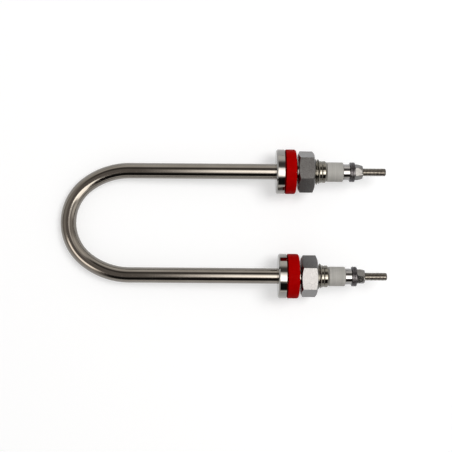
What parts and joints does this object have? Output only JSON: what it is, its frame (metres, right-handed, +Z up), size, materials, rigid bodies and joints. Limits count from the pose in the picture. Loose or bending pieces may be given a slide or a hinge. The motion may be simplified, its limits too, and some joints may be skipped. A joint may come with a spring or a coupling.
{
  "type": "tubular heating element",
  "caption": "U-bent sheathed tubular heater with a flanged threaded fitting, red gasket, hexagon nut, ceramic bush and stud terminal on each leg.",
  "frame": {"origin": "midway between the axes of the two threaded fittings, in the plane of fitting a's shoulder, where its flange meets the gasket", "axes": "+X along the legs towards the terminals, the bend at -X, leg a at +Y and leg b at -Y, +Z up out of the plane of the legs"},
  "size_m": [0.1677, 0.0766, 0.023],
  "materials": {
    "sheath_steel": "satin",
    "magnesia": "matte",
    "coil_alloy": "satin",
    "pin_steel": "satin",
    "seal_resin": "matte",
    "fitting_steel": "polished",
    "gasket_rubber": "satin",
    "nut_steel": "satin",
    "bush_ceramic": "matte",
    "terminal_steel": "polished"
  },
  "bodies": {
    "root": {"sheath_tube": "sheath_steel", "resistance_coil": "coil_alloy", "magnesia_jacket": "magnesia", "magnesia_core": "magnesia", "terminal_pin_a": "pin_steel", "end_seal_a": "seal_resin", "threaded_fitting_a": "fitting_steel", "panel_gasket_a": "gasket_rubber", "panel_nut_a": "nut_steel", "ceramic_bush_a": "bush_ceramic", "terminal_spacer_a": "terminal_steel", "inner_washer_a": "terminal_steel", "outer_washer_a": "terminal_steel", "terminal_nut_a": "terminal_steel", "terminal_pin_b": "pin_steel", "end_seal_b": "seal_resin", "threaded_fitting_b": "fitting_steel", "panel_gasket_b": "gasket_rubber", "panel_nut_b": "nut_steel", "ceramic_bush_b": "bush_ceramic", "terminal_spacer_b": "terminal_steel", "inner_washer_b": "terminal_steel", "outer_washer_b": "terminal_steel", "terminal_nut_b": "terminal_steel"}
  },
  "joints": []
}
